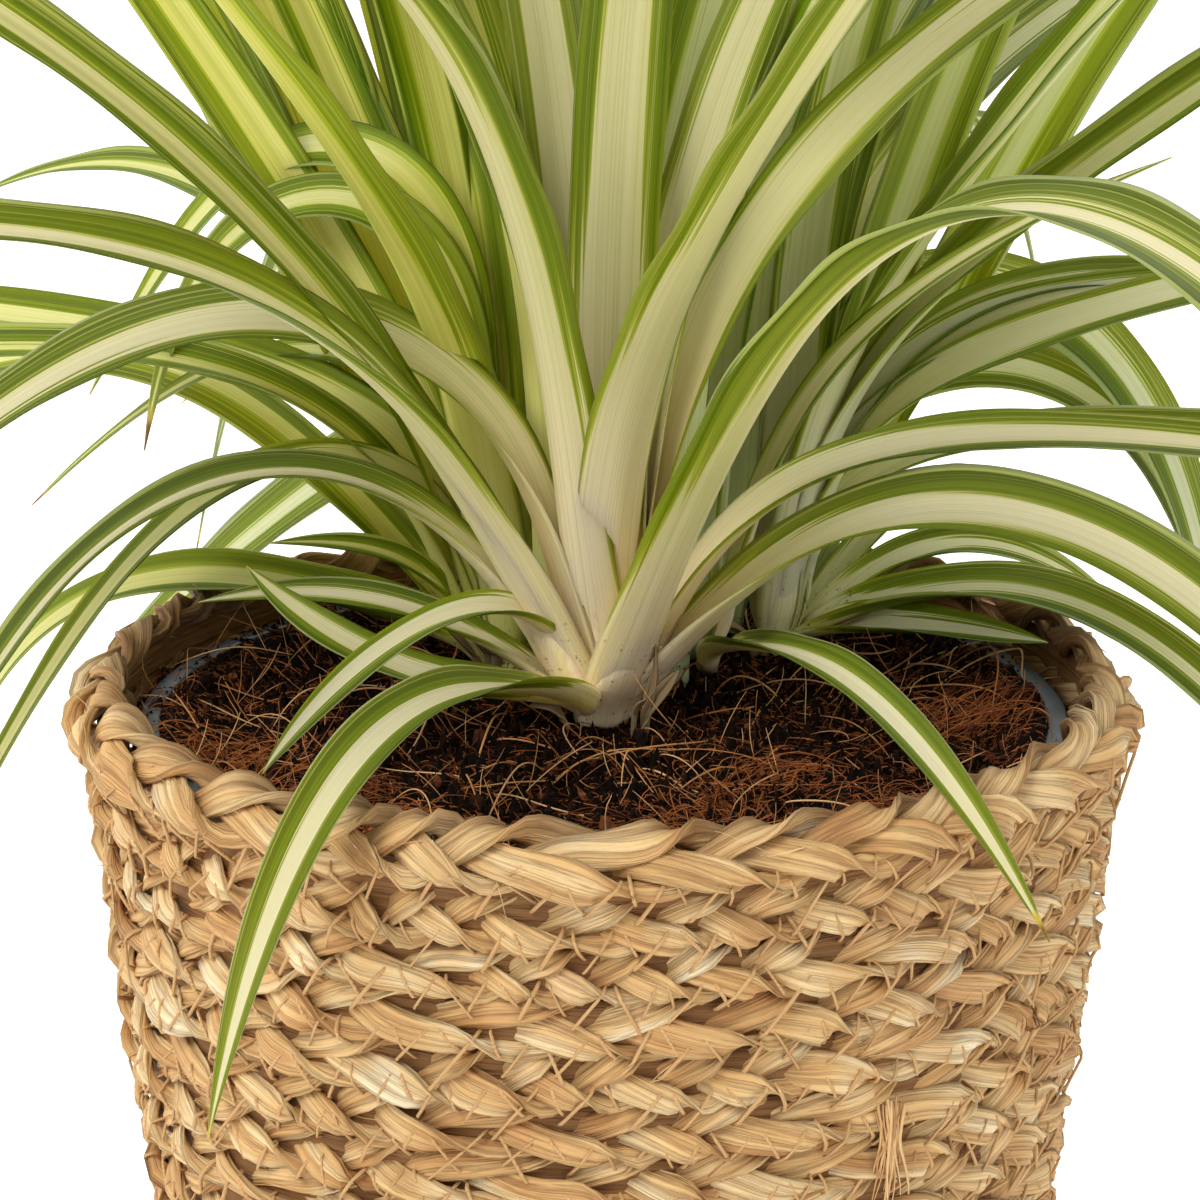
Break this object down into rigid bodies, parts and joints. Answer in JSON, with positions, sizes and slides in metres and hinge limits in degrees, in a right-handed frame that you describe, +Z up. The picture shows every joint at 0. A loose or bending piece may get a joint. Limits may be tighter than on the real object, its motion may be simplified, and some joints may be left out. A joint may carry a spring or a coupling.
{
  "type": "potted spider plant",
  "caption": "Variegated spider plant, a clump of arching strap leaves, in a thin plastic pot of coir mix that stands inside a plaited, stitched seagrass basket.",
  "frame": {"origin": "middle of the basket's flat underside, on the surface it stands on", "axes": "+Z up along the basket's axis; the picture looks along +Y, so -Y is the front, with the bare soil and the two leaves that hang over the rim"},
  "size_m": [0.4273, 0.4146, 0.394],
  "materials": {
    "seagrass": "dry plaited grass, matt with a faint silky streak along each strip",
    "pot_plastic": "satin grey moulded plastic",
    "coir_mix": "moist brown coconut fibre with curled roots",
    "leaf": "semi-gloss leaf, green margins and a cream middle stripe, pale at the foot"
  },
  "bodies": {
    "root": {"basket": "seagrass", "nursery_pot": "pot_plastic", "soil": "coir_mix", "crown_front": "leaf", "crown_left": "leaf", "crown_right": "leaf", "shoot_front": "leaf", "crown_rear": "leaf"}
  },
  "joints": []
}
